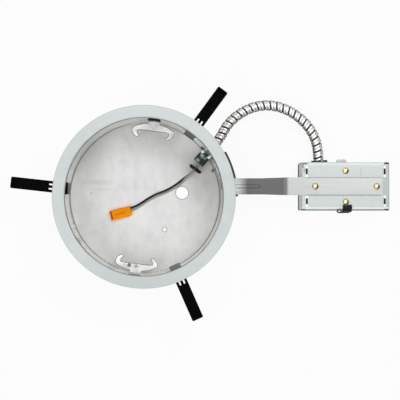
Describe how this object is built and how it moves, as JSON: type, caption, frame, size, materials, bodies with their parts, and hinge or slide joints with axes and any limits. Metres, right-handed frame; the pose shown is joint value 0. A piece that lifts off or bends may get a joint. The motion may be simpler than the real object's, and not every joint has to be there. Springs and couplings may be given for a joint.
{
  "type": "recessed light housing",
  "caption": "Round sheet-metal downlight housing with a flange, fold-out remodel clips, a junction box on an arm, flexible conduit and an orange lead plug.",
  "frame": {"origin": "centre of the trim opening, in the plane of the flange's room side", "axes": "+Z out of the opening, into the room once installed; +X from the can to the junction box"},
  "size_m": [0.5319, 0.3241, 0.105],
  "materials": {
    "galvanised_sheet": "matte galvanised steel sheet",
    "rolled_sheet": "plain rolled steel sheet",
    "spring_steel_black": "black oxide spring steel",
    "bright_steel": "plain zinc plated steel",
    "brass": "polished brass",
    "zinc_casting": "dark cast zinc",
    "aluminium_conduit": "interlocked aluminium strip",
    "black_plastic": "moulded nylon",
    "black_insulation": "wire insulation",
    "white_insulation": "wire insulation",
    "green_insulation": "wire insulation",
    "orange_plastic": "moulded nylon, orange",
    "red_plastic": "moulded nylon, red",
    "clear_plastic": "moulded polycarbonate"
  },
  "bodies": {
    "housing": {"flange_ring": "galvanised_sheet", "can_wall": "rolled_sheet", "closed_end": "rolled_sheet", "receiver_upper": "bright_steel", "receiver_lower": "bright_steel", "receiver_screw": "spring_steel_black", "clip_rivets": "bright_steel", "receiver_rivets": "bright_steel", "arm_bracket_rivets": "bright_steel", "arm_bracket": "bright_steel", "box_arm": "galvanised_sheet", "arm_rivets": "bright_steel", "box_body": "galvanised_sheet", "arm_dome_rivets": "brass", "clamp_dome_rivets": "brass", "cable_clamp": "bright_steel", "cord_clip": "black_plastic", "cord_clip_ring": "black_plastic", "conduit": "aluminium_conduit", "can_connector": "zinc_casting", "connector_screws": "bright_steel", "can_locknut": "bright_steel", "box_locknut": "bright_steel", "box_connector": "zinc_casting", "lead_black": "black_insulation", "lead_white": "white_insulation", "lead_bushing": "black_plastic", "plug_body": "orange_plastic", "plug_ports": "red_plastic", "wire_connector_1": "clear_plastic", "wire_connector_2": "clear_plastic", "wire_connector_3": "clear_plastic", "box_wire_black": "black_insulation", "box_wire_white": "white_insulation", "box_wire_green": "green_insulation", "ground_screw": "bright_steel", "clip_bracket_upper": "spring_steel_black", "clip_pin_upper": "bright_steel", "clip_bracket_left": "spring_steel_black", "clip_pin_left": "bright_steel", "clip_bracket_lower": "spring_steel_black", "clip_pin_lower": "bright_steel"},
    "box_door_far": {"box_door_far": "galvanised_sheet"},
    "box_door_near": {"box_door_near": "galvanised_sheet"},
    "remodel_clip_left": {"remodel_clip_left": "spring_steel_black"},
    "remodel_clip_lower": {"remodel_clip_lower": "spring_steel_black"},
    "remodel_clip_upper": {"remodel_clip_upper": "spring_steel_black"}
  },
  "joints": [
    {"name": "clip_upper_fold", "type": "hinge", "parent": "housing", "child": "remodel_clip_upper", "pos_m": [0.0682, 0.09284, -0.022], "axis": [-0.8059, 0.592, 0], "range_deg": [0, 85]},
    {"name": "clip_left_fold", "type": "hinge", "parent": "housing", "child": "remodel_clip_left", "pos_m": [-0.1145, 0.01264, -0.022], "axis": [-0.1097, -0.994, 0], "range_deg": [0, 85]},
    {"name": "clip_lower_fold", "type": "hinge", "parent": "housing", "child": "remodel_clip_lower", "pos_m": [0.0463, -0.10548, -0.022], "axis": [0.9157, 0.4019, 0], "range_deg": [0, 85]},
    {"name": "door_near_swing", "type": "hinge", "parent": "housing", "child": "box_door_near", "pos_m": [0.2253, 0.0155, -0.0985], "axis": [0, -1, 0], "range_deg": [0, 90]},
    {"name": "door_far_swing", "type": "hinge", "parent": "housing", "child": "box_door_far", "pos_m": [0.3461, 0.0155, -0.0985], "axis": [0, 1, 0], "range_deg": [0, 90]}
  ]
}
